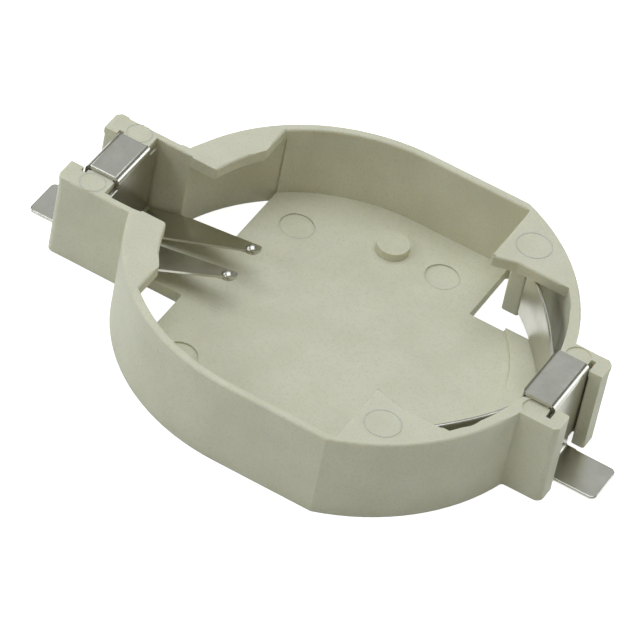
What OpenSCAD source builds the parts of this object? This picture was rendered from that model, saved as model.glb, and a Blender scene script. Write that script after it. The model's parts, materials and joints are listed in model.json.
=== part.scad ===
// Surface-mount holder for one coin cell: a moulded ring with a contact block at each end,
// and two contacts folded from strip, each straddling the top of its block.
// The origin is the middle of the body on the board's face. +X runs from the negative
// contact to the positive one, and +Z points away from the board.

/* [Cell] */
// Diameter of the cell
cell_d = 20; // [19.7:0.1:20.2]
// Thickness of the cell
cell_t = 3.2; // [2.9:0.1:3.6]
// Clearance round the cell where it passes the snap lips
pass_gap = 0.05; // [0.02:0.01:0.15]
// Play between the seated cell and the lips above it
cell_play = 0.1; // [0.05:0.05:0.3]

/* [Ring] */
// Outer radius of the ring at the negative end, and half the width of the body
ring_r = 10.9; // [10.8:0.1:11.3]
// Wall of the ring
ring_wall = 0.5; // [0.4:0.05:0.6]
// How far the ring's wall is relieved behind the snap lips
relief = 0.1; // [0.05:0.05:0.2]
// Outer radius of the bay, the wider arc at the positive end
bay_r = 11.8; // [11.6:0.1:12.2]
// Centre of the bay, from the middle of the body
bay_x = 1.2; // [1:0.1:1.3]
// Wall of the bay at its nose, behind the positive contact
nose_wall = 0.64; // [0.55:0.03:0.7]
// How far the centre of the bay's inner arc lies behind that of its outer arc
nose_shift = 0.5; // [0.4:0.05:0.55]

/* [Floor] */
// Thickness of the floor
floor_t = 0.7; // [0.6:0.05:1]
// Height of the ledge under the cell's rim, above the floor
ledge_h = 0.3; // [0.2:0.05:0.4]
// Radius of the recess inside that ledge, which clears the cell's negative cap
recess_r = 8.85; // [8.6:0.05:9]
// Height of the two seating pads above the floor
pad_h = 0.5; // [0.4:0.05:0.7]
// Radius of a seating pad
pad_r = 0.9; // [0.7:0.05:1]
// Distance from the long axis to the middle of a seating pad
pad_y = 7.7; // [7.4:0.1:8.2]
// Radius of the marks that the ejector pins leave
pin_r = 0.95; // [0.7:0.05:1]
// Radius of the smaller marks on the blocks
block_pin_r = 0.68; // [0.5:0.02:0.68]
// Distance from the middle of the body to those smaller marks
block_pin_x = 13.1; // [12.9:0.05:13.3]
// Depth of all these marks
pin_depth = 0.08; // [0.03:0.01:0.1]

/* [Lips] */
// Thickness of the snap lips and of the retaining shelves
lip_t = 0.7; // [0.6:0.05:0.9]
// Distance from the middle of the body to the straight side of a snap lip
lip_x = 7.2; // [6.9:0.1:7.5]
// Distance from the middle of the body to the near side of a shelf
shelf_x = 6; // [5.8:0.1:6.2]
// Distance from the long axis to the straight edge of a shelf
shelf_y = 6.5; // [6.4:0.1:6.9]
// How far the toe of a shelf reaches past its straight edge
toe_reach = 0.45; // [0.2:0.05:0.5]
// Length of that toe along the shelf
toe_l = 1.4; // [1:0.1:1.8]
// Gap between a snap lip and the edge of the floor window below it
core_gap = 0.15; // [0.1:0.05:0.25]
// Gap between the near side of a shelf and the edge of the floor window below it
shelf_gap = 0.4; // [0.2:0.05:0.5]
// Width of the floor between the windows at the negative end
tongue_w = 4.5; // [4.2:0.1:4.8]
// Width of the stop pillar under a shelf
pillar_w = 1; // [0.7:0.1:1.4]
// Distance from the long axis to the face of a stop pillar
pillar_y = 8.2; // [8:0.1:8.6]

/* [Contact blocks] */
// Length of the body over both blocks
body_l = 29.6; // [29.4:0.1:30.2]
// Width of a block
block_w = 6.2; // [6:0.1:6.6]
// Cut off the outer upright corners of a block
corner_cut = 0.25; // [0.1:0.05:0.35]
// Width of the opening in the end of the negative block
neg_mouth_w = 3.3; // [3:0.1:3.6]
// Width of the opening in the end of the positive block
pos_mouth_w = 3.5; // [3:0.1:3.8]
// Floor left under the foot of the negative contact
trough_t = 0.35; // [0.3:0.05:0.4]
// Clearance between a contact and the plastic beside it
fit = 0.05; // [0.03:0.01:0.08]
// Gap between the top of a block and the saddle over it
saddle_gap = 0.05; // [0.02:0.01:0.08]

/* [Contacts] */
// Thickness of the contact strip
strip_t = 0.2; // [0.15:0.01:0.25]
// Inner radius of its folds
fold_r = 0.15; // [0.1:0.01:0.18]
// Distance from the middle of the body to the outer face of both outer legs
leg_x = 14; // [13.9:0.05:14.1]
// Length over both solder tabs
tabs_l = 34; // [33:0.5:36]
// Width of a solder tab
tab_w = 2.6; // [2:0.1:3]
// Radius of a solder tab's corners
tab_r = 0.35; // [0.1:0.05:0.4]
// Distance from the top of the body down to the shoulders of the wide legs
shoulder_z = 0.4; // [0.3:0.05:0.6]
// Height at which an outer leg narrows to its solder tab
waist_z = 0.7; // [0.6:0.05:1]

/* [Negative contact] */
// Length of the negative contact's saddle
neg_saddle_l = 2.05; // [1.6:0.05:2.1]
// Width of that saddle
neg_saddle_w = 3.2; // [2.8:0.1:3.4]
// Width of the outer leg in its grooves
neg_leg_w = 3.8; // [3.6:0.1:4.6]
// Width of the inner leg, which is the width across both fingers at their root
finger_root_w = 5; // [4.6:0.1:5]
// Width across both fingers at their tips
finger_tip_w = 3; // [2.6:0.1:3.4]
// Width of the slit between the fingers at the foot
slit_root_w = 0.2; // [0.1:0.05:0.4]
// Width of the slit between the fingers at the tips
slit_tip_w = 1.96; // [1.6:0.02:2]
// Angle at which the fingers rise from the floor
finger_rise = 17.2; // [14:0.2:18]
// Distance from the middle of the body to the finger tips
finger_tip_x = 4.65; // [4.2:0.05:5]
// Radius of the contact dimple near each tip
dimple_r = 0.4; // [0.35:0.01:0.45]
// Distance from a finger's tip to the middle of its dimple
dimple_back = 0.5; // [0.45:0.05:0.8]
// Height of the dimple above the finger
dimple_h = 0.12; // [0.08:0.01:0.16]

/* [Positive contact] */
// Length of the positive contact's saddle
pos_saddle_l = 2.05; // [1.9:0.05:2.1]
// Width of that saddle
pos_saddle_w = 3.8; // [3.2:0.1:4]
// Width of the outer leg in its grooves
pos_leg_w = 5; // [4.6:0.1:5.2]
// Width of the inner leg, from which the two spring arms leave
arm_root_w = 2.8; // [2.4:0.1:3]
// Radius of the bend where an arm leaves the inner leg
arm_bend_r = 1.5; // [1:0.1:2]
// Angle of that bend
arm_bend = 27; // [24:0.5:28]
// Radius of the long curve of an arm
arm_curve_r = 18; // [16:0.5:20]
// Angle of that curve
arm_curve = 21.5; // [20:0.5:22.5]
// Gap above and below an arm
arm_gap = 0.1; // [0.05:0.05:0.2]

/* [Hidden] */
$fn = 96;
EPS = 0.01;
// Degrees by which two arcs of one strip run over each other where they join
LAP = 0.3;

lip_z = floor_t + pad_h + cell_t + cell_play;
body_h = lip_z + lip_t;
end_x = body_l / 2;
tab_x = tabs_l / 2;
inner_r = ring_r - ring_wall;
pocket_r = bay_r - nose_wall + nose_shift;
pocket_x = bay_x - nose_shift;
lip_r = cell_d / 2 + pass_gap;
outer_fold_r = fold_r + strip_t;
neg_inner_x = leg_x - neg_saddle_l;
pos_inner_x = leg_x - pos_saddle_l;
trough_w = finger_root_w + 6 * fit;
trough_x = inner_r - 0.4;
foot_z = trough_t + fit + outer_fold_r;
window_edge = shelf_y - toe_reach;
saddle_z = body_h + saddle_gap;
arm_z = floor_t + ledge_h + arm_gap;
arm_h = lip_z - arm_gap - arm_z;
reach = 3 * bay_r;

// Flips a shape made at the positive end over to the negative one.
module at_negative_end() { mirror([1, 0, 0]) children(); }

// Repeats a shape on both sides of the long axis.
module both_sides() {
    children();
    mirror([0, 1, 0]) children();
}

// Everything on one side of the plane x = 0, as a wide square.
module positive_half() { translate([0, -reach]) square([reach, 2 * reach]); }

module housing() {
    color("#C6CAB9") difference() {
        union() {
            wall_ring();
            floor_plate();
            both_sides() shelf_and_pillar();
            both_sides() at_negative_end() snap_lip();
            contact_blocks();
        }
        both_sides() lip_relief();
        contact_slots(leg_x, pos_saddle_l, pos_leg_w, pos_mouth_w, pos_saddle_w);
        at_negative_end() contact_slots(leg_x, neg_saddle_l, neg_leg_w, neg_mouth_w, neg_saddle_w);
        finger_trough();
        ejector_marks();
    }
}

// Outline of the body without its blocks: a ring that runs tangent into two flats, and the
// wider arc of the bay, which meets the flats at a corner.
module body_outline(r, arc_r, arc_x) {
    difference() {
        circle(r);
        positive_half();
    }
    intersection() {
        translate([arc_x, 0]) circle(arc_r);
        positive_half();
        translate([0, -r]) square([reach, 2 * r]);
    }
}

module pocket_outline() { body_outline(inner_r, pocket_r, pocket_x); }

// An outline inside the wall, where what joins the wall ends.
module mid_wall_outline() { body_outline(inner_r + ring_wall / 2, bay_r - nose_wall / 4, bay_x); }

module wall_ring() {
    linear_extrude(body_h) difference() {
        body_outline(ring_r, bay_r, bay_x);
        pocket_outline();
    }
}

// The floor carries a ledge for the cell's rim at the positive end, and two seating pads.
module floor_plate() {
    linear_extrude(floor_t) difference() {
        mid_wall_outline();
        both_sides() window_plan();
    }
    translate([0, 0, floor_t / 2]) linear_extrude(floor_t / 2 + ledge_h) difference() {
        intersection() {
            mid_wall_outline();
            positive_half();
        }
        translate([bay_x, 0]) circle(recess_r);
        both_sides() translate([0, window_edge]) square(reach);
    }
    both_sides() translate([0, pad_y, floor_t / 2]) cylinder(h = floor_t / 2 + pad_h, r = pad_r);
}

// A shelf in the corner of the bay, which the cell is pushed under, and the pillar that
// stops the tip of the spring arm.
module shelf_and_pillar() {
    translate([0, 0, lip_z]) linear_extrude(lip_t) intersection() {
        mid_wall_outline();
        polygon([
            [shelf_x, shelf_y - toe_reach],
            [shelf_x + toe_l, shelf_y],
            [reach, shelf_y],
            [reach, reach],
            [shelf_x, reach]
        ]);
    }
    linear_extrude(lip_z + lip_t / 2) intersection() {
        mid_wall_outline();
        translate([shelf_x + 3 * core_gap, pillar_y]) square([pillar_w, reach]);
    }
}

// A snap lip at the negative end, drawn at the positive one. Its curved edge lets the cell
// pass while it is pushed into the bay.
module snap_lip() {
    translate([0, 0, lip_z]) linear_extrude(lip_t) difference() {
        intersection() {
            circle(ring_r - ring_wall / 2);
            translate([lip_x, 0]) square([reach, reach]);
        }
        translate([-bay_x, 0]) circle(lip_r);
    }
}

// Plan of the windows in the floor, which the cores of the lips and shelves leave behind.
module window_plan() {
    translate([-reach - lip_x + core_gap, tongue_w / 2]) square(reach);
    translate([shelf_x - shelf_gap, window_edge]) square(reach);
}

// The wall is a little thinner behind a snap lip, as the core clears its foot.
module lip_relief() {
    translate([0, 0, -1]) linear_extrude(lip_z + 1) intersection() {
        circle(inner_r + relief);
        translate([-reach - lip_x + core_gap, trough_w / 2 + core_gap]) square(reach);
    }
}

// The blocks that carry the contacts, one at each end.
module contact_blocks() {
    linear_extrude(body_h) difference() {
        union() {
            block_plan();
            at_negative_end() block_plan();
        }
        pocket_outline();
    }
}

// Plan of one block, with its outer corners cut off.
module block_plan() {
    polygon([
        [inner_r - ring_wall, -block_w / 2],
        [end_x - corner_cut, -block_w / 2],
        [end_x, corner_cut - block_w / 2],
        [end_x, block_w / 2 - corner_cut],
        [end_x - corner_cut, block_w / 2],
        [inner_r - ring_wall, block_w / 2]
    ]);
}

// Slots for one contact: the groove that grips the outer leg, the open mouth in the end of
// the block, and room for the folds at both ends of the saddle.
module contact_slots(outer_x, saddle_l, leg_w, mouth_w, saddle_w) {
    groove_x = outer_x - strip_t - fit;
    translate([groove_x, -leg_w / 2 - fit, -1]) cube([strip_t + 2 * fit, leg_w + 2 * fit, body_h + 2]);
    translate([groove_x, -mouth_w / 2, -1]) cube([reach, mouth_w, body_h + 2]);
    for (x = [groove_x + fit - fold_r, outer_x - saddle_l + strip_t - fit])
        translate([x, -saddle_w / 2 - fit, body_h - fold_r])
            cube([fold_r + fit, saddle_w + 2 * fit, fold_r + 1]);
}

// The trough in the negative block that takes the inner leg and the root of the fingers.
module finger_trough() {
    back_x = -neg_inner_x - strip_t - fit;
    translate([back_x, -trough_w / 2, trough_t])
        cube([-trough_x - back_x, trough_w, body_h]);
    translate([-trough_x - EPS, relief - trough_w / 2, floor_t])
        cube([trough_x - lip_x, trough_w - 2 * relief, body_h]);
}

// Shallow round marks on the floor, the shelves and the blocks.
module ejector_marks() {
    for (spot = [[-4.9, 6.1, floor_t], [3.1, 7.6, floor_t], [7.45, 8.15, body_h]])
        both_sides() translate([spot[0], spot[1], spot[2] - pin_depth]) cylinder(h = 1, r = pin_r);
    for (x = [-block_pin_x, block_pin_x])
        both_sides() translate([x, block_w / 2 - block_pin_r - fit, body_h - pin_depth])
            cylinder(h = 1, r = block_pin_r);
}

// A quarter of a fold in the strip, centred on the origin, between two angles.
module fold(from, to) {
    rotate(from) rotate_extrude_flat(to - from);
}

// A flat ring sector of the strip's thickness, from angle 0 up to a given angle.
module rotate_extrude_flat(angle) {
    far = 4 * outer_fold_r;
    intersection() {
        difference() {
            circle(outer_fold_r);
            circle(fold_r);
        }
        polygon([
            [0, 0],
            far * [1, 0],
            far * [cos(angle / 2), sin(angle / 2)],
            far * [cos(angle), sin(angle)]
        ]);
    }
}

// The strip's edge view at the positive end, in X and Z: solder tab, outer leg and saddle.
module saddle_profile(saddle_l) {
    fold_z = saddle_z - fold_r;
    out_x = leg_x - outer_fold_r;
    in_x = leg_x - saddle_l + outer_fold_r;
    translate([leg_x + fold_r, 0]) square([tab_x - leg_x - fold_r, strip_t]);
    translate([leg_x + fold_r, outer_fold_r]) fold(180, 270);
    translate([leg_x - strip_t, outer_fold_r]) square([strip_t, fold_z - outer_fold_r]);
    translate([out_x, fold_z]) fold(0, 90);
    translate([in_x, saddle_z]) square([out_x - in_x, strip_t]);
    translate([in_x, fold_z]) fold(90, 180);
    translate([leg_x - saddle_l, body_h - shoulder_z - EPS])
        square([strip_t, fold_z - body_h + shoulder_z + EPS]);
}

// A strip's edge view given its width along Y.
module widen(w) { rotate([90, 0, 0]) linear_extrude(w, center = true) children(); }

// A contact from its solder tab to the top of its inner leg: each height has its own width,
// and the saddle may be cut back at the corners where the inner leg leaves it.
module saddle(saddle_l, saddle_w, inner_w, leg_w) {
    inner_x = leg_x - saddle_l;
    intersection() {
        widen(2 * block_w) saddle_profile(saddle_l);
        union() {
            translate([0, 0, body_h - shoulder_z - EPS]) linear_extrude(reach) polygon([
                [inner_x, -inner_w / 2],
                [inner_x + strip_t, -saddle_w / 2],
                [leg_x + fit, -saddle_w / 2],
                [leg_x + fit, saddle_w / 2],
                [inner_x + strip_t, saddle_w / 2],
                [inner_x, inner_w / 2]
            ]);
            translate([leg_x - strip_t - fit, -leg_w / 2, waist_z - EPS])
                cube([strip_t + 2 * fit, leg_w, body_h - shoulder_z - waist_z + EPS]);
            tab_blank();
        }
    }
}

// Plan of the solder tab with its rounded corners, as tall as the waist of the leg.
module tab_blank() {
    linear_extrude(waist_z) {
        translate([leg_x - outer_fold_r, -tab_w / 2])
            square([tab_x - tab_r - leg_x + outer_fold_r, tab_w]);
        translate([leg_x, tab_r - tab_w / 2]) square([tab_x - leg_x, tab_w - 2 * tab_r]);
        both_sides() translate([tab_x - tab_r, tab_w / 2 - tab_r]) circle(tab_r);
    }
}

module negative_contact() {
    color("#A9AAA8") difference() {
        union() {
            at_negative_end() saddle(neg_saddle_l, neg_saddle_w, neg_saddle_w, neg_leg_w);
            negative_inner_leg();
            fingers();
            both_sides() dimple(dimple_r);
        }
        both_sides() dimple(dimple_r - strip_t);
    }
}

// The inner leg drops from the saddle to the foot, where it turns up into the fingers.
module negative_inner_leg() {
    translate([-neg_inner_x - strip_t, -finger_root_w / 2, foot_z])
        cube([strip_t, finger_root_w, body_h - shoulder_z - foot_z]);
}

// Height of the fingers' upper face at a place along the long axis.
function finger_z(x) = foot_z + (x + foot_x()) * tan(finger_rise) - fold_r / cos(finger_rise);
function foot_x() = neg_inner_x - fold_r;
function finger_edge(x, root, tip) =
    (root + (tip - root) * (x + trough_x) / (trough_x - finger_tip_x)) / 2;

// Two tapering fingers, cut from one sloping sheet together with the fold at their foot.
module fingers() {
    intersection() {
        widen(2 * block_w) {
            translate([-foot_x(), foot_z]) fold(180, 270 + finger_rise);
            translate([-foot_x(), foot_z]) rotate(finger_rise)
                translate([0, -outer_fold_r]) square([reach / 2, strip_t]);
        }
        translate([0, 0, -1]) linear_extrude(body_h + 2) both_sides() finger_plan();
    }
}

// Plan of one finger: parallel sides through the trough, then a taper to a round tip.
module finger_plan() {
    slit = slit_root_w / 2;
    end_r = (finger_tip_w - slit_tip_w) / 4;
    neck_x = -finger_tip_x - end_r;
    polygon([
        [-neg_inner_x - strip_t, slit],
        [-neg_inner_x - strip_t, finger_root_w / 2],
        [-trough_x, finger_root_w / 2],
        [neck_x, finger_tip_w / 2],
        [neck_x, slit_tip_w / 2],
        [-foot_x(), slit]
    ]);
    translate([neck_x, (finger_tip_w + slit_tip_w) / 4]) circle(end_r);
}

// The dimple that touches the cell, as a ball of the outer or the inner radius.
module dimple(r) {
    x = -finger_tip_x - dimple_back;
    y = (finger_tip_w + slit_tip_w) / 4;
    intersection() {
        translate([x, y, finger_z(x) + dimple_h - dimple_r]) sphere(r);
        translate([x - 2 * r, y - 2 * r, finger_z(x) - strip_t]) cube(4 * r);
    }
}

module positive_contact() {
    color("#A9AAA8") {
        saddle(pos_saddle_l, pos_saddle_w, arm_root_w, pos_leg_w);
        translate([pos_inner_x, -arm_root_w / 2, arm_z])
            cube([strip_t, arm_root_w, body_h - shoulder_z - arm_z]);
        both_sides() translate([0, 0, arm_z]) linear_extrude(arm_h) spring_arm();
    }
}

// Plan of one spring arm, which bends off the inner leg and curves round the cell's rim.
module spring_arm() {
    root = [pos_inner_x + strip_t / 2, arm_root_w / 2];
    bend_end = root + arm_bend_r * [cos(arm_bend) - 1, sin(arm_bend)];
    translate([pos_inner_x, 0]) square([strip_t, arm_root_w / 2 + EPS]);
    translate(root - [arm_bend_r, 0]) arc_strip(arm_bend_r, 0, arm_bend);
    translate(bend_end - arm_curve_r * [cos(arm_bend), sin(arm_bend)])
        arc_strip(arm_curve_r, arm_bend - LAP, arm_bend + arm_curve);
}

// A flat arc of the strip's thickness about the origin.
module arc_strip(r, from, to) {
    far = 2 * r;
    middle = (from + to) / 2;
    intersection() {
        difference() {
            circle(r + strip_t / 2);
            circle(r - strip_t / 2);
        }
        polygon([
            [0, 0],
            far * [cos(from), sin(from)],
            far * [cos(middle), sin(middle)],
            far * [cos(to), sin(to)]
        ]);
    }
}

housing();
negative_contact();
positive_contact();
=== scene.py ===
"""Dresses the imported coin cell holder: one moulded housing and two folded spring contacts.

Sizes are in millimetres until a mesh is made, and every mesh is in metres in the part's frame.
"""

from __future__ import annotations

import json
import logging
import math
from dataclasses import dataclass, field
from enum import Enum

import bmesh
import bpy
from mathutils import Matrix, Vector
from mathutils.bvhtree import BVHTree
from mathutils.kdtree import KDTree

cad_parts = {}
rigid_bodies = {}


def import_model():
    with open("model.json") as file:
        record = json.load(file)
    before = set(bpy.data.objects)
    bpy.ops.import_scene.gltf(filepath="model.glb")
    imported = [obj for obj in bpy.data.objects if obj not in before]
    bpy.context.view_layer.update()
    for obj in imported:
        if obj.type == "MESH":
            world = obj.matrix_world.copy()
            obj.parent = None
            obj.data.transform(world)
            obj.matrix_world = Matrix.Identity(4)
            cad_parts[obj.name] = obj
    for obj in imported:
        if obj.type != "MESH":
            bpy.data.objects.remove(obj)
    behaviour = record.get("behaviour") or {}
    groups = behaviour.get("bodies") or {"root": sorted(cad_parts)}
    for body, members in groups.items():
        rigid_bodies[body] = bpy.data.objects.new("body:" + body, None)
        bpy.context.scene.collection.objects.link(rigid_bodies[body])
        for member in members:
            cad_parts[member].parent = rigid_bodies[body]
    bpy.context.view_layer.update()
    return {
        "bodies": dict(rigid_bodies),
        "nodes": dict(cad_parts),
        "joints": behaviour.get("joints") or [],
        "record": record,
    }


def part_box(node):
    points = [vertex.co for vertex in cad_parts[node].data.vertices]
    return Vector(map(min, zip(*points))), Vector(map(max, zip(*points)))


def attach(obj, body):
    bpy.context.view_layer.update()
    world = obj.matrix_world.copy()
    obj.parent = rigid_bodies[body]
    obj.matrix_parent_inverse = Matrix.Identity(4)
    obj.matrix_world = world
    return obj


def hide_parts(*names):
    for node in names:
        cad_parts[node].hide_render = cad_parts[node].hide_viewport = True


LOG = logging.getLogger("cell_holder")
MM = 0.001
BODY = "root"
# Corners closer than MERGE are one corner, and faces that turn by less than FLAT are one face.
MERGE = 0.001 * MM
FLAT = math.radians(0.4)
# A face whose normal rises by more than this lies, and any other stands.
LYING = 0.5


class Slot(Enum):
    """The record's material slots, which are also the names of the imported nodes."""

    HOUSING = "housing"
    NEGATIVE = "negative_contact"
    POSITIVE = "positive_contact"


def linear_rgba(hex_colour: str) -> tuple[float, float, float, float]:
    """Turns a colour as printed on a swatch card into the renderer's linear values.

    Args:
        hex_colour: Six hexadecimal digits after a hash sign.

    Returns:
        Red, green, blue and an alpha of one.
    """
    channels = [int(hex_colour[i:i + 2], 16) / 255 for i in (1, 3, 5)]
    linear = [c / 12.92 if c <= 0.04045 else ((c + 0.055) / 1.055) ** 2.4 for c in channels]
    return (linear[0], linear[1], linear[2], 1.0)


class Sheet:
    """A node tree with one short way to add a node."""

    prefix = "ShaderNode"

    def __init__(self, tree: bpy.types.NodeTree) -> None:
        """Takes the tree to fill.

        Args:
            tree: The tree that gets the nodes.
        """
        self.tree = tree

    def add(self, kind: str, inputs: dict[str, object] | None = None, **settings: object) -> bpy.types.Node:
        """Adds one node.

        Args:
            kind: The node's type name without the sheet's prefix.
            inputs: Socket name to a value, or to an output socket that feeds it.
            settings: Properties of the node itself.

        Returns:
            The new node.
        """
        node = self.tree.nodes.new(self.prefix + kind)
        for key, value in settings.items():
            setattr(node, key, value)
        for key, value in (inputs or {}).items():
            if isinstance(value, bpy.types.NodeSocket):
                self.tree.links.new(value, node.inputs[key])
            else:
                node.inputs[key].default_value = value
        return node


class NodeSheet(Sheet):
    """A material's node tree."""

    def __init__(self, name: str) -> None:
        """Starts a material of that name with an empty tree.

        Args:
            name: The finish's own name.
        """
        self.material = bpy.data.materials.new(name)
        self.material.use_nodes = True
        super().__init__(self.material.node_tree)
        self.tree.nodes.clear()

    def finish(self, shader: bpy.types.Node) -> bpy.types.Material:
        """Joins the shader to the output.

        Args:
            shader: The surface shader's node.

        Returns:
            The finished material.
        """
        self.add("OutputMaterial", {"Surface": shader.outputs[0]})
        return self.material


class ShapeSheet(Sheet):
    """A Geometry Nodes tree with named inputs, which ends in real faces with a finish."""

    prefix = "GeometryNode"

    def __init__(self, name: str) -> None:
        """Starts an empty tree.

        Args:
            name: The tree's own name.
        """
        super().__init__(bpy.data.node_groups.new(name, "GeometryNodeTree"))
        self.tree.interface.new_socket("Geometry", in_out="OUTPUT", socket_type="NodeSocketGeometry")
        self.entry = self.tree.nodes.new("NodeGroupInput")

    def take(self, name: str, kind: str) -> None:
        """Adds a named input."""
        self.tree.interface.new_socket(name, in_out="INPUT", socket_type=kind)

    def given(self, name: str) -> bpy.types.NodeSocket:
        """Gives the socket of a named input."""
        return self.entry.outputs[name]

    def finish(self, shape: bpy.types.NodeSocket, material: bpy.types.Material) -> bpy.types.NodeTree:
        """Makes the shape real, gives it its finish and joins it to the output.

        Args:
            shape: The instances or mesh to hand out.
            material: The finish.

        Returns:
            The finished tree.
        """
        real = self.add("RealizeInstances", {"Geometry": shape})
        dressed = self.add("SetMaterial", {"Geometry": real.outputs["Geometry"], "Material": material})
        leave = self.tree.nodes.new("NodeGroupOutput")
        self.tree.links.new(dressed.outputs["Geometry"], leave.inputs["Geometry"])
        return self.tree


@dataclass(frozen=True)
class MouldedNylon:
    """Glass-filled nylon as it leaves a spark-eroded mould: warm grey, satin, a little cloudy."""

    # The resin flows unevenly, which gives soft clouds between two greys that lie close together.
    clouds: tuple[str, str] = ("#DBD8BF", "#E2DFC8")
    cloud_span: tuple[float, float] = (0.35, 0.65)
    cloud_mm: float = 2.5
    # Pits of the eroded mould stand up as fine grain, and the grain's hollows get painted shade: a darker
    # grey where the relief sinks.
    # The real grain is too fine to show at this distance, so it is drawn as coarse as it needs to show.
    painted_pit_shade: str = "#C9C6AC"
    painted_pit_shade_share: float = 0.45
    painted_pit_shade_span: tuple[float, float] = (0.5, 0.3)
    grain_mm: float = 0.13
    # Short glass fibres near the skin break the gloss into a satin sheen.
    fibre_mm: float = 0.35
    satin: tuple[float, float] = (0.46, 0.6)
    relief_mm: float = 0.03
    relief_share: float = 0.5
    ior: float = 1.52
    # Light goes a little way into the resin, and comes back warmer.
    depth_mm: float = 0.35
    depth_share: float = 0.4
    depth_tint: tuple[float, float, float] = (1.0, 0.8, 0.45)

    def material(self) -> bpy.types.Material:
        """Builds the material.

        Returns:
            The nylon, with clouding in its colour and spark-eroded grain in its relief.
        """
        sheet = NodeSheet("glass_filled_nylon_as_moulded")
        place = sheet.add("TexCoord").outputs["Object"]
        cloud = sheet.add("TexNoise", {"Vector": place, "Scale": 1 / (self.cloud_mm * MM),
                                       "Detail": 4.0, "Roughness": 0.55})
        grain = sheet.add("TexNoise", {"Vector": place, "Scale": 1 / (self.grain_mm * MM),
                                       "Detail": 3.0, "Roughness": 0.6})
        fibre = sheet.add("TexNoise", {"Vector": place, "Scale": 1 / (self.fibre_mm * MM),
                                       "Detail": 2.0, "Roughness": 0.5})
        drift = sheet.add("MapRange", {"Value": cloud.outputs["Fac"], "From Min": self.cloud_span[0],
                                       "From Max": self.cloud_span[1]})
        base = sheet.add("MixRGB", {"Fac": drift.outputs[0], "Color1": linear_rgba(self.clouds[0]),
                                    "Color2": linear_rgba(self.clouds[1])})
        # Painted shade: the grain's hollows, the low points of its relief, are mixed towards the darker
        # grey.
        hollow = sheet.add("MapRange", {"Value": grain.outputs["Fac"], "From Min": self.painted_pit_shade_span[0],
                                        "From Max": self.painted_pit_shade_span[1],
                                        "To Min": 0.0, "To Max": self.painted_pit_shade_share})
        colour = sheet.add("MixRGB", {"Fac": hollow.outputs[0], "Color1": base.outputs[0],
                                      "Color2": linear_rgba(self.painted_pit_shade)})
        rough = sheet.add("MapRange", {"Value": fibre.outputs["Fac"], "To Min": self.satin[0],
                                       "To Max": self.satin[1]})
        height = sheet.add("Math", {0: grain.outputs["Fac"], 1: fibre.outputs["Fac"]}, operation="ADD")
        relief = sheet.add("Bump", {"Height": height.outputs[0], "Strength": self.relief_share,
                                    "Distance": self.relief_mm * MM})
        return sheet.finish(sheet.add("BsdfPrincipled", {
            "Base Color": colour.outputs[0], "Roughness": rough.outputs[0], "Normal": relief.outputs[0],
            "IOR": self.ior, "Subsurface Weight": self.depth_share, "Subsurface Radius": self.depth_tint,
            "Subsurface Scale": self.depth_mm * MM,
        }))


@dataclass(frozen=True)
class PlatedStrip:
    """Spring strip under bright plating, with faint rolling marks along its length."""

    # Plating lies in uneven patches, which gives a slight clouding of the shine.
    patches: tuple[str, str] = ("#C2C0B5", "#D2D0C5")
    patch_span: tuple[float, float] = (0.3, 0.62)
    patch_mm: float = 1.8
    # The rolls leave lines that are far longer than they are wide and soften the mirror.
    roll_mm: float = 0.05
    roll_stretch: tuple[float, float, float] = (0.06, 1.0, 0.06)
    gloss: tuple[float, float] = (0.2, 0.3)
    relief_mm: float = 0.004
    relief_share: float = 0.05

    def material(self) -> bpy.types.Material:
        """Builds the material.

        Returns:
            The plated metal, cloudy at the scale of the plating and lined by the rolls.
        """
        sheet = NodeSheet("bright_plated_spring_strip")
        place = sheet.add("TexCoord").outputs["Object"]
        along = sheet.add("Mapping", {"Vector": place, "Scale": self.roll_stretch})
        lines = sheet.add("TexNoise", {"Vector": along.outputs[0], "Scale": 1 / (self.roll_mm * MM),
                                       "Detail": 2.0, "Roughness": 0.5})
        patch = sheet.add("TexNoise", {"Vector": place, "Scale": 1 / (self.patch_mm * MM),
                                       "Detail": 5.0, "Roughness": 0.6})
        drift = sheet.add("MapRange", {"Value": patch.outputs["Fac"], "From Min": self.patch_span[0],
                                       "From Max": self.patch_span[1]})
        colour = sheet.add("MixRGB", {"Fac": drift.outputs[0], "Color1": linear_rgba(self.patches[0]),
                                      "Color2": linear_rgba(self.patches[1])})
        rough = sheet.add("MapRange", {"Value": lines.outputs["Fac"], "To Min": self.gloss[0],
                                       "To Max": self.gloss[1]})
        relief = sheet.add("Bump", {"Height": lines.outputs["Fac"], "Strength": self.relief_share,
                                    "Distance": self.relief_mm * MM})
        return sheet.finish(sheet.add("BsdfPrincipled", {
            "Base Color": colour.outputs[0], "Metallic": 1.0, "Roughness": rough.outputs[0],
            "Normal": relief.outputs[0],
        }))


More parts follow.
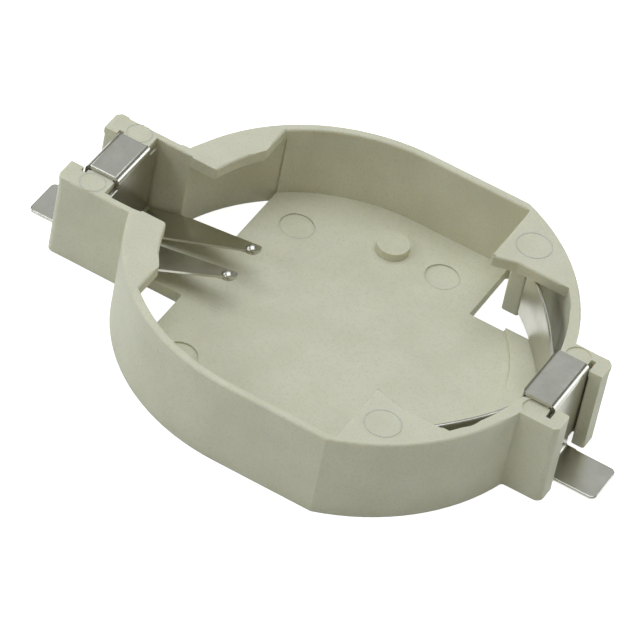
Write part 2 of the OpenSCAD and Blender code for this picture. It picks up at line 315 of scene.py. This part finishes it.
@dataclass(frozen=True)
class StudioPaper:
    """The pale paper under the object, burnt out to white by its light."""

    swatch: str = "#E2E4E1"
    glow: float = 0.85
    mirrored_glow: float = 0.6
    roughness: float = 0.9
    tooth_mm: float = 10 / 9
    relief_mm: float = 0.02
    relief_share: float = 0.05

    def material(self) -> bpy.types.Material:
        """Builds the material.

        Returns:
            Matt paper with a faint tooth, white where it is seen or mirrored.
        """
        sheet = NodeSheet("studio_paper")
        place = sheet.add("TexCoord").outputs["Object"]
        tooth = sheet.add("TexNoise", {"Vector": place, "Scale": 1 / (self.tooth_mm * MM), "Detail": 2.0,
                                       "Roughness": 0.5})
        relief = sheet.add("Bump", {"Height": tooth.outputs["Fac"], "Strength": self.relief_share,
                                    "Distance": self.relief_mm * MM})
        path = sheet.add("LightPath")
        mirrored = sheet.add("Math", {0: path.outputs["Is Glossy Ray"], 1: self.mirrored_glow},
                             operation="MULTIPLY")
        glow = sheet.add("Math", {0: path.outputs["Is Camera Ray"], 1: self.glow, 2: mirrored.outputs[0]},
                         operation="MULTIPLY_ADD")
        return sheet.finish(sheet.add("BsdfPrincipled", {
            "Base Color": linear_rgba(self.swatch), "Roughness": self.roughness,
            "Normal": relief.outputs[0], "Emission Color": linear_rgba("#FFFFFF"),
            "Emission Strength": glow.outputs[0],
        }))


def new_piece(name: str, mesh: bpy.types.Mesh) -> bpy.types.Object:
    """Puts a mesh in the scene as a piece at the origin.

    Args:
        name: The piece's name.
        mesh: Its mesh, already in place.

    Returns:
        The new object.
    """
    piece = bpy.data.objects.new(name, mesh)
    bpy.context.scene.collection.objects.link(piece)
    return piece


def hand_over(piece: bpy.types.Object, slot: Slot, material: bpy.types.Material) -> None:
    """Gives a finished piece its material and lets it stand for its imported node.

    Args:
        piece: The finished piece.
        slot: The node and slot that it stands for.
        material: Its finish.
    """
    piece.data.materials.clear()
    piece.data.materials.append(material)
    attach(piece, BODY)
    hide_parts(slot.value)
    LOG.info("%s: %d faces", piece.name, len(piece.data.polygons))


def height_of(face: bmesh.types.BMFace) -> float:
    """Gives a wall's height, or a large value for a face that isn't upright."""
    if abs(face.normal.z) > LYING:
        return math.inf
    heights = [vertex.co.z for vertex in face.verts]
    return max(heights) - min(heights)


@dataclass
class EdgeBreak:
    """Rounds the sharp edges of a solid's copy, each as far as its neighbours leave room.

    Attributes:
        radius: How wide an edge is broken where there is room.
        segments: How many faces the rounding has.
        sharp_deg: From what turn of the surface an edge shows as sharp.
        shallow: Up to what height a wall belongs to a mark and keeps its edges.
        sample_mm: How close the points lie at which an edge's room is measured.
        share: How much of a gap to a neighbour the rounding may take.
        easing: How fast a width may grow along a run of edges.
        passes: How often that easing is worked through.
        cuts_mm: Where a long edge is divided, measured from its ends.
        lowest: Above what height an edge is broken however it lies, in metres.
        upright: From what share of its length in height an edge is broken wherever it stands.
        tries: How often the rounding is made again with the folded places left sharp.
        retreat_mm: How far round a folded place edges are left sharp.
        speck_mm2: How small a face may be to be left out of that test.
    """

    radius: float
    segments: int = 3
    sharp_deg: float = 28.0
    shallow: float = 0.09
    sample_mm: float = 0.1
    share: float = 0.42
    easing: float = 0.5
    passes: int = 40
    cuts_mm: tuple[float, ...] = (0.1, 0.25, 0.5)
    lowest: float = -math.inf
    upright: float = 0.99
    tries: int = 8
    retreat_mm: float = 0.3
    speck_mm2: float = 0.0002

    @staticmethod
    def loose_copy(node: bpy.types.Object) -> bmesh.types.BMesh:
        """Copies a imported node's loose triangles as one joined form with whole flat faces.

        Args:
            node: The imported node's object.

        Returns:
            The joined form.
        """
        form = bmesh.new()
        form.from_mesh(node.data)
        bmesh.ops.remove_doubles(form, verts=form.verts, dist=MERGE)
        bmesh.ops.dissolve_limit(form, angle_limit=FLAT, verts=form.verts, edges=form.edges)
        return form

    def finish(self, form: bmesh.types.BMesh, name: str) -> bpy.types.Object:
        """Rounds a form's edges and makes a piece of it.

        Args:
            form: The joined form, which is used up.
            name: The piece's name.

        Returns:
            The piece, with its modifier applied.
        """
        # The layer comes first, because adding it makes every edge found before it a stranger.
        weight = form.edges.layers.float.new("bevel_weight_edge")
        widths = self.widths(form)
        guide = BVHTree.FromBMesh(form)
        for _ in range(self.tries):
            for edge in form.edges:
                edge[weight] = widths.get(edge, 0.0) / (self.radius * MM)
                edge.smooth = edge.calc_face_angle(0.0) < math.radians(self.sharp_deg)
            piece = self.rounded(form, name)
            astray = self.astray(piece, guide)
            if not astray:
                break
            for edge in widths:
                if any((point - spot).length < self.retreat_mm * MM
                       for point in self.points_on(edge) for spot in astray):
                    widths[edge] = 0.0
            LOG.info("%s: %d spots left sharp", name, len(astray))
            bpy.data.objects.remove(piece)
        form.free()
        return piece

    def rounded(self, form: bmesh.types.BMesh, name: str) -> bpy.types.Object:
        """Makes a piece of a form with its weighted edges rounded.

        Args:
            form: The joined form with its weights set.
            name: The piece's name.

        Returns:
            The piece, with its modifier applied.
        """
        mesh = bpy.data.meshes.new(name)
        form.to_mesh(mesh)
        piece = new_piece(name, mesh)
        bevel = piece.modifiers.new("edge_break", "BEVEL")
        bevel.limit_method = "WEIGHT"
        bevel.width = self.radius * MM
        bevel.segments = self.segments
        bevel.use_clamp_overlap = False
        bevel.harden_normals = True
        return apply_modifiers(piece)

    def astray(self, piece: bpy.types.Object, guide: BVHTree) -> list[Vector]:
        """Finds where rounding has folded the surface over or pulled it off the solid.

        Args:
            piece: The rounded piece.
            guide: The surface before rounding.

        Returns:
            The centres and corners of the faces that went astray.
        """
        skin = bmesh.new()
        skin.from_mesh(piece.data)
        bmesh.ops.triangulate(skin, faces=skin.faces)
        found = []
        for face in skin.faces:
            if face.calc_area() > self.speck_mm2 * MM * MM:
                centre = face.calc_center_median()
                near = guide.find_nearest_range(centre, self.radius * MM)
                if all(hit[1].dot(face.normal) < 0.0 for hit in near):
                    found += [centre] + [vertex.co.copy() for vertex in face.verts]
        skin.free()
        return found

    def widths(self, form: bmesh.types.BMesh) -> dict[bmesh.types.BMEdge, float]:
        """Works out how wide each sharp edge may be broken.

        Args:
            form: The joined form.

        Returns:
            Each broken edge with its width in metres.
        """
        corners = self.corner_rooms(form)
        self.cut_ends(form)
        broken = [edge for edge in form.edges if self.is_broken(edge)]
        run_of = self.runs(broken)
        meets = self.meeting_runs(run_of)
        tree, owners = self.sampled([edge for edge in form.edges if self.is_sharp(edge)])
        widths = {}
        for edge in broken:
            room = min([self.radius * MM] + [corners[v] for v in edge.verts if v in corners])
            for point in self.points_on(edge):
                for _, index, gap in tree.find_range(point, self.radius * MM / self.share):
                    other = owners[index]
                    if run_of.get(other, other) not in meets[run_of[edge]]:
                        room = min(room, self.share * gap)
            widths[edge] = room
        return self.eased(widths)

    def corner_rooms(self, form: bmesh.types.BMesh) -> dict[bmesh.types.BMVert, float]:
        """Works out how much width the shortest edge at each corner leaves.

        Args:
            form: The joined form.

        Returns:
            Each corner's vertex with the width that fits there.
        """
        rooms = {}
        for vertex in form.verts:
            sharp = [edge for edge in vertex.link_edges if self.is_sharp(edge)]
            turns = [self.turn(a, b, vertex) for a in sharp for b in sharp if a is not b]
            if turns and max(turns) > math.radians(self.sharp_deg):
                rooms[vertex] = self.share * min(edge.calc_length() for edge in sharp)
        return rooms

    def cut_ends(self, form: bmesh.types.BMesh) -> None:
        """Divides long sharp edges near their ends, so that a tight corner narrows only the end of an edge.

        Args:
            form: The joined form, which is changed.
        """
        for edge in [edge for edge in form.edges if self.is_broken(edge)]:
            if edge.calc_length() > 3 * max(self.cuts_mm) * MM:
                for end in tuple(edge.verts):
                    vertex, done = end, 0.0
                    for cut in self.cuts_mm:
                        share = (cut * MM - done) / edge.calc_length()
                        other = edge.other_vert(vertex)
                        _, vertex = bmesh.utils.edge_split(edge, vertex, share)
                        edge = next(e for e in vertex.link_edges if e.other_vert(vertex) is other)
                        done = cut * MM

    @staticmethod
    def meeting_runs(run_of: dict[bmesh.types.BMEdge, int]) -> dict[int, set]:
        """Finds which runs, and which unbroken edges, share a corner with each run.

        Args:
            run_of: Each edge with its run's number.

        Returns:
            Each run's number with the runs and edges that it meets, itself among them.
        """
        meets: dict[int, set] = {}
        for edge, run in run_of.items():
            near = {run_of.get(e, e) for vertex in edge.verts for e in vertex.link_edges}
            meets.setdefault(run, {run}).update(near)
        return meets

    def eased(self, widths: dict[bmesh.types.BMEdge, float]) -> dict[bmesh.types.BMEdge, float]:
        """Lets a width grow only gently from one edge to the next.

        Args:
            widths: Each broken edge with the room that it has.

        Returns:
            The same edges with their final widths.
        """
        for _ in range(self.passes):
            for edge in widths:
                near = [e for v in edge.verts for e in v.link_edges if e in widths and e is not edge]
                for other in near:
                    reach = widths[other] + self.easing * (edge.calc_length() + other.calc_length()) / 2
                    widths[edge] = min(widths[edge], reach)
        return widths

    def runs(self, broken: list[bmesh.types.BMEdge]) -> dict[bmesh.types.BMEdge, int]:
        """Numbers the runs of edges that go on round a curve without a corner.

        Args:
            broken: The edges that are rounded.

        Returns:
            Each edge with its run's number.
        """
        members, run_of = set(broken), {}
        for number, start in enumerate(broken):
            queue = [start] if start not in run_of else []
            while queue:
                edge = queue.pop()
                run_of[edge] = number
                for vertex in edge.verts:
                    for other in vertex.link_edges:
                        known = other in run_of or other not in members
                        if not known and self.turn(edge, other, vertex) < math.radians(self.sharp_deg):
                            queue.append(other)
        return run_of

    @staticmethod
    def turn(edge: bmesh.types.BMEdge, other: bmesh.types.BMEdge, vertex: bmesh.types.BMVert) -> float:
        """Gives the angle that a path turns through at the vertex between two edges."""
        before = vertex.co - edge.other_vert(vertex).co
        after = other.other_vert(vertex).co - vertex.co
        return before.angle(after, math.pi)

    def points_on(self, edge: bmesh.types.BMEdge) -> list[Vector]:
        """Gives evenly spaced points on an edge, its ends among them."""
        start, end = (vertex.co for vertex in edge.verts)
        count = max(1, math.ceil(edge.calc_length() / (self.sample_mm * MM)))
        return [start.lerp(end, i / count) for i in range(count + 1)]

    def sampled(self, edges: list[bmesh.types.BMEdge]) -> tuple[KDTree, list[bmesh.types.BMEdge]]:
        """Puts points of many edges in a tree for finding what lies near.

        Args:
            edges: The edges to sample.

        Returns:
            The tree, and the edge of each of its points.
        """
        found = [(point, edge) for edge in edges for point in self.points_on(edge)]
        tree = KDTree(len(found))
        for index, (point, _) in enumerate(found):
            tree.insert(point, index)
        tree.balance()
        return tree, [edge for _, edge in found]

    def is_sharp(self, edge: bmesh.types.BMEdge) -> bool:
        """Tells whether two faces meet in an edge that shows."""
        return len(edge.link_faces) == 2 and edge.calc_face_angle(0.0) >= math.radians(self.sharp_deg)

    def is_broken(self, edge: bmesh.types.BMEdge) -> bool:
        """Tells whether an edge is sharp, high enough or upright, and not on the wall of a shallow mark."""
        start, end = (vertex.co for vertex in edge.verts)
        stands = abs(end.z - start.z) > self.upright * (end - start).length
        placed = stands or min(start.z, end.z) >= self.lowest
        tall = all(height_of(face) > self.shallow * MM for face in edge.link_faces)
        return placed and tall and self.is_sharp(edge)


def apply_modifiers(piece: bpy.types.Object) -> bpy.types.Object:
    """Turns what the modifiers show into the piece's own plain mesh.

    Args:
        piece: An object with live modifiers.

    Returns:
        The same object with none.
    """
    graph = bpy.context.evaluated_depsgraph_get()
    mesh = bpy.data.meshes.new_from_object(piece.evaluated_get(graph))
    old = piece.data
    piece.modifiers.clear()
    piece.data = mesh
    bpy.data.meshes.remove(old)
    mesh.name = piece.name
    return piece


@dataclass(frozen=True)
class PinMark:
    """The round mark that an ejector pin leaves."""

    centre: Vector
    radius: float
    walls: tuple[bmesh.types.BMFace, ...]
    seat: tuple[bmesh.types.BMFace, ...]


@dataclass
class Housing:
    """The moulding, with its rim and upright edges rounded and a fine flash round its pin marks.

    Attributes:
        edge: How its edges are rounded.
        flash: How thick the flash is.
        flash_sides: How many sides the flash's section has.
        rim_sides: How many sides a ring of flash has.
        rim_slack: How far below the top an edge may lie and still belong to the rim.
        round_corners: From how many corners a ring of walls can be round.
        round_slack: By what share its corners may miss a circle.
        crowding: How many roundings' width has to stay free round a mark.
    """

    edge: EdgeBreak = field(default_factory=lambda: EdgeBreak(radius=0.15))
    flash: float = 0.025
    flash_sides: int = 10
    rim_sides: int = 72
    rim_slack: float = 0.02
    round_corners: int = 12
    round_slack: float = 0.05
    crowding: float = 2.0

    def build(self, frame: dict, nylon: bpy.types.Material) -> None:
        """Builds and dresses the moulding.

        Args:
            frame: The loaded frame.
            nylon: Its finish.
        """
        form = self.edge.loose_copy(frame["nodes"][Slot.HOUSING.value])
        self.edge.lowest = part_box(Slot.HOUSING.value)[1][2] - self.rim_slack * MM
        marks = self.find_marks(form)
        self.add_flash([(mark.centre.copy(), mark.radius) for mark in marks], nylon)
        self.level(form, [mark for mark in marks if self.is_crowded(mark, form)])
        hand_over(self.edge.finish(form, "moulded_housing"), Slot.HOUSING, nylon)

    def find_marks(self, form: bmesh.types.BMesh) -> list[PinMark]:
        """Finds the shallow round recesses of the ejector pins.

        Args:
            form: The joined form of the moulding.

        Returns:
            Every whole round mark.
        """
        low = {face for face in form.faces if height_of(face) <= self.edge.shallow * MM}
        marks = []
        while low:
            walls, queue = set(), [low.pop()]
            while queue:
                wall = queue.pop()
                walls.add(wall)
                near = {face for edge in wall.edges for face in edge.link_faces} & low
                low -= near
                queue.extend(near)
            mark = self.as_mark(walls)
            if mark:
                marks.append(mark)
        return sorted(marks, key=lambda mark: tuple(mark.centre))

    def as_mark(self, walls: set[bmesh.types.BMFace]) -> PinMark | None:
        """Reads a ring of low walls as a mark.

        Args:
            walls: Low upright faces that join each other.

        Returns:
            The mark, or nothing where the walls don't stand in a full circle.
        """
        corners = {vertex for wall in walls for vertex in wall.verts}
        middle = (max(v.co.z for v in corners) + min(v.co.z for v in corners)) / 2
        rim = [v.co for v in corners if v.co.z > middle]
        centre = sum(rim, Vector()) / len(rim)
        spread = [(point - centre).length for point in rim]
        if len(rim) < self.round_corners or max(spread) - min(spread) > self.round_slack * max(spread):
            return None
        seat = {face for wall in walls for edge in wall.edges for face in edge.link_faces
                if face not in walls and face.normal.z > LYING and face.calc_center_median().z < middle}
        return PinMark(centre, max(spread), tuple(walls), tuple(seat))

    def is_crowded(self, mark: PinMark, form: bmesh.types.BMesh) -> bool:
        """Tells whether a rounded edge would run into the mark."""
        room = mark.radius + self.crowding * self.edge.radius * MM
        return any((point - mark.centre).length < room for edge in form.edges if self.edge.is_broken(edge)
                   for point in self.edge.points_on(edge))

    @staticmethod
    def level(form: bmesh.types.BMesh, marks: list[PinMark]) -> None:
        """Fills marks flush, so that only their flash is left to show.

        Args:
            form: The joined form, which is changed.
            marks: The marks to fill.
        """
        gone = [face for mark in marks for face in (*mark.walls, *mark.seat)]
        bmesh.ops.delete(form, geom=gone, context="FACES")
        bmesh.ops.holes_fill(form, edges=[edge for edge in form.edges if edge.is_boundary], sides=0)
        bmesh.ops.dissolve_limit(form, angle_limit=FLAT, verts=form.verts, edges=form.edges)

    def add_flash(self, rims: list[tuple[Vector, float]], nylon: bpy.types.Material) -> None:
        """Lays a hair of flash round each pin mark.

        Args:
            rims: Centre and radius of each mark.
            nylon: The moulding's finish.
        """
        mesh = bpy.data.meshes.new("pin_mark_flash")
        mesh.from_pydata([tuple(centre) for centre, _ in rims], [], [])
        sizes = mesh.attributes.new("rim_radius", "FLOAT", "POINT")
        sizes.data.foreach_set("value", [radius for _, radius in rims])
        piece = new_piece("pin_mark_flash", mesh)
        modifier = piece.modifiers.new("flash", "NODES")
        modifier.node_group = self.flash_tree(nylon)
        values = {"Flash share": self.flash * MM / max(radius for _, radius in rims),
                  "Flash sides": self.flash_sides, "Rim sides": self.rim_sides}
        for item in modifier.node_group.interface.items_tree:
            if item.in_out == "INPUT" and item.name in values:
                modifier[item.identifier] = values[item.name]
        apply_modifiers(piece)
        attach(piece, BODY)
        LOG.info("%s: %d marks", piece.name, len(rims))

    @staticmethod
    def flash_tree(nylon: bpy.types.Material) -> bpy.types.NodeTree:
        """Builds the tree that turns points into rings of flash.

        Args:
            nylon: The moulding's finish.

        Returns:
            A tree that reads each point's rim radius and scales a unit ring to it.
        """
        sheet = ShapeSheet("pin_mark_flash_rings")
        sheet.take("Points", "NodeSocketGeometry")
        sheet.take("Flash share", "NodeSocketFloat")
        sheet.take("Flash sides", "NodeSocketInt")
        sheet.take("Rim sides", "NodeSocketInt")
        rim = sheet.add("CurvePrimitiveCircle", {"Resolution": sheet.given("Rim sides"), "Radius": 1.0})
        section = sheet.add("CurvePrimitiveCircle", {"Resolution": sheet.given("Flash sides"),
                                                     "Radius": sheet.given("Flash share")})
        ring = sheet.add("CurveToMesh", {"Curve": rim.outputs["Curve"],
                                         "Profile Curve": section.outputs["Curve"]})
        size = sheet.add("InputNamedAttribute", {"Name": "rim_radius"}, data_type="FLOAT")
        laid = sheet.add("InstanceOnPoints", {"Points": sheet.given("Points"),
                                              "Instance": ring.outputs["Mesh"],
                                              "Scale": size.outputs["Attribute"]})
        return sheet.finish(laid.outputs["Instances"], nylon)


@dataclass
class Contact:
    """One folded contact."""

    slot: Slot
    name: str
    edge: EdgeBreak = field(default_factory=lambda: EdgeBreak(radius=0.09))

    def build(self, frame: dict, plating: bpy.types.Material) -> None:
        """Builds and dresses the contact.

        Args:
            frame: The loaded frame.
            plating: Its finish.
        """
        form = self.edge.loose_copy(frame["nodes"][self.slot.value])
        hand_over(self.edge.finish(form, self.name), self.slot, plating)


@dataclass
class Studio:
    """Floor, lights and camera.

    Attributes:
        azimuth_deg: The camera's bearing, turned from the front to the right.
        elevation_deg: How far it looks down.
        roll_deg: How far it is turned about its own axis.
        distance: How far it stands from its target.
        target: The point that it looks at.
        lens: Its focal length.
        sensor: Its sensor's width.
        clip_m: Where its view starts and ends, in metres.
        floor_half: Half the paper's side.
        floor_drop: How far the paper lies below the part, so that the two never share a plane.
        sky: Strength of the light that the room's walls give back.
        room_tint: Its colour.
        daylight: The colour of the panels.
        panels: Each panel's name, place, side and power in watts.
    """

    azimuth_deg: float = 21.15
    elevation_deg: float = 43.56
    roll_deg: float = -12.19
    distance: float = 286.6
    target: tuple[float, float, float] = (-0.38, 0.59, 0.79)
    lens: float = 311.6
    sensor: float = 36.0
    clip_m: tuple[float, float] = (0.01, 10.0)
    floor_half: float = 600.0
    floor_drop: float = 0.01
    sky: float = 0.19
    room_tint: tuple[float, float, float] = (1.0, 0.97, 0.84)
    daylight: tuple[float, float, float] = (0.86, 0.92, 1.0)
    panels: tuple[tuple[str, tuple[float, float, float], float, float], ...] = (
        ("overhead", (-20.0, 30.0, 430.0), 380.0, 1.0),
        ("behind", (-118.0, 305.0, 325.0), 340.0, 0.15),
        ("left", (-420.0, -100.0, 210.0), 300.0, 0.48),
        ("front_left", (-202.0, -317.0, 298.0), 90.0, 0.26),
        ("low_right", (300.0, 295.0, 115.0), 200.0, 0.3),
    )

    def build(self) -> None:
        """Lays the floor, hangs the lights and sets up the camera."""
        self.lay_floor()
        self.light_room()
        self.aim_camera()

    def lay_floor(self) -> None:
        """Lays a flat sheet of paper under the part."""
        half, level = self.floor_half * MM, -self.floor_drop * MM
        mesh = bpy.data.meshes.new("studio_floor")
        corners = [(-half, -half, level), (half, -half, level), (half, half, level), (-half, half, level)]
        mesh.from_pydata(corners, [], [(0, 1, 2, 3)])
        mesh.materials.append(StudioPaper().material())
        new_piece("studio_floor", mesh)

    def light_room(self) -> None:
        """Fills the room with pale light and hangs the broad panels round the part."""
        world = bpy.data.worlds.new("studio_room")
        world.use_nodes = True
        room = world.node_tree.nodes["Background"]
        room.inputs["Color"].default_value = (*self.room_tint, 1.0)
        room.inputs["Strength"].default_value = self.sky
        bpy.context.scene.world = world
        for panel in self.panels:
            self.hang_light(*panel)

    def hang_light(self, name: str, place: tuple[float, float, float], width: float, power: float) -> None:
        """Hangs a square light that faces the part.

        Args:
            name: The light's name.
            place: Where it hangs.
            width: Its side.
            power: Its power in watts.
        """
        data = bpy.data.lights.new(name, "AREA")
        data.size = width * MM
        data.energy = power
        data.color = self.daylight
        lamp = bpy.data.objects.new(name, data)
        spot = Vector(place) * MM
        lamp.matrix_world = Matrix.Translation(spot) @ spot.to_track_quat("Z", "Y").to_matrix().to_4x4()
        bpy.context.scene.collection.objects.link(lamp)

    def aim_camera(self) -> None:
        """Places the camera on its bearing, then rolls it about its own axis."""
        turn, rise, roll = (math.radians(v) for v in (self.azimuth_deg, self.elevation_deg, self.roll_deg))
        back = Vector((math.sin(turn) * math.cos(rise), -math.cos(turn) * math.cos(rise), math.sin(rise)))
        level = Vector((math.cos(turn), math.sin(turn), 0.0))
        upright = back.cross(level)
        right = level * math.cos(roll) - upright * math.sin(roll)
        up = upright * math.cos(roll) + level * math.sin(roll)
        place = (Vector(self.target) + back * self.distance) * MM
        data = bpy.data.cameras.new("studio_camera")
        data.lens, data.sensor_width = self.lens, self.sensor
        data.clip_start, data.clip_end = self.clip_m
        camera = bpy.data.objects.new("studio_camera", data)
        turned = Matrix((right, up, back)).transposed().to_4x4()
        camera.matrix_world = Matrix.Translation(place) @ turned
        bpy.context.scene.collection.objects.link(camera)
        bpy.context.scene.camera = camera
        bpy.context.scene.view_settings.view_transform = "Standard"


def main(frame: dict) -> None:
    """Builds every piece in order.

    Args:
        frame: The loaded frame.
    """
    logging.basicConfig(level=logging.INFO, format="%(name)s: %(message)s")
    Studio().build()
    Housing().build(frame, MouldedNylon().material())
    plating = PlatedStrip().material()
    Contact(Slot.NEGATIVE, "negative_strip").build(frame, plating)
    Contact(Slot.POSITIVE, "positive_strip").build(frame, plating)


if __name__ == "__main__":
    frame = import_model()
    main(frame)
